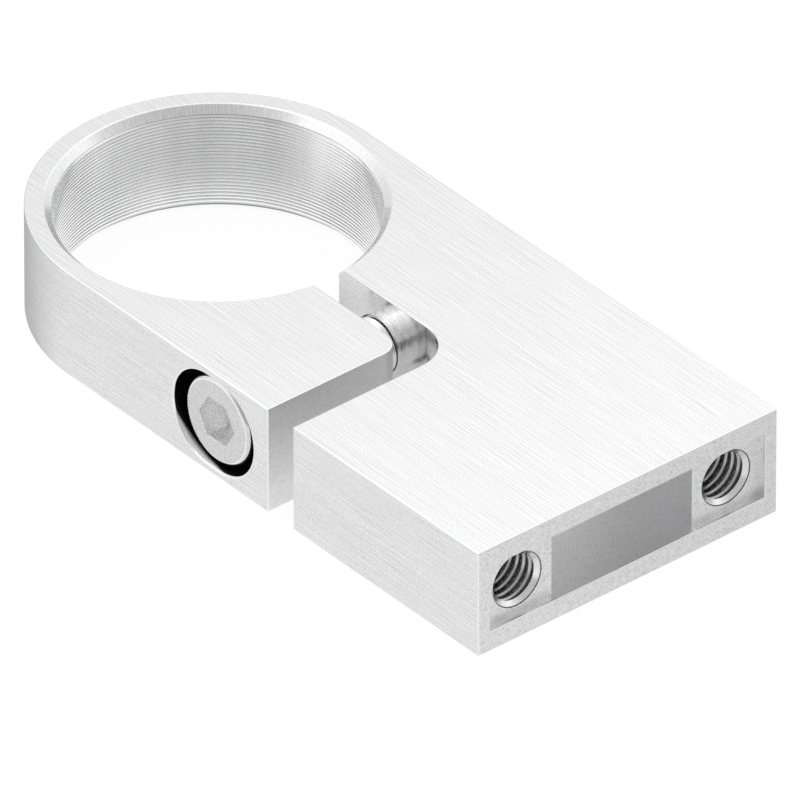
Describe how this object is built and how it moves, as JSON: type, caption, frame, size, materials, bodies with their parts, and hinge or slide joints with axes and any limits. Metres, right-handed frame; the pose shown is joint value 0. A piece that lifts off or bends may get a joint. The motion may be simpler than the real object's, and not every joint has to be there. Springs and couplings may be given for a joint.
{
  "type": "tube clamp ring",
  "caption": "Aluminium clamp ring for a round tube, with an L-shaped slot, a cross screw and a flat block whose end face is a recessed socket with threads.",
  "frame": {"origin": "centre of the bore, half way through its thickness", "axes": "+Z along the bore, +X from the bore to the threaded end face, +Y away from the free lug and the clamp screw's head"},
  "size_m": [0.1068, 0.05, 0.016],
  "materials": {
    "body_aluminium": "brushed along the bar, turned in the bore",
    "screw_steel": "plain stainless steel, fine satin"
  },
  "bodies": {
    "clamp": {"clamp_body": "body_aluminium"},
    "screw": {"clamp_screw": "screw_steel"}
  },
  "joints": [
    {"name": "screw_travel", "type": "slide", "parent": "clamp", "child": "screw", "axis": [0, -1, 0], "range_m": [0, 0.01]}
  ]
}
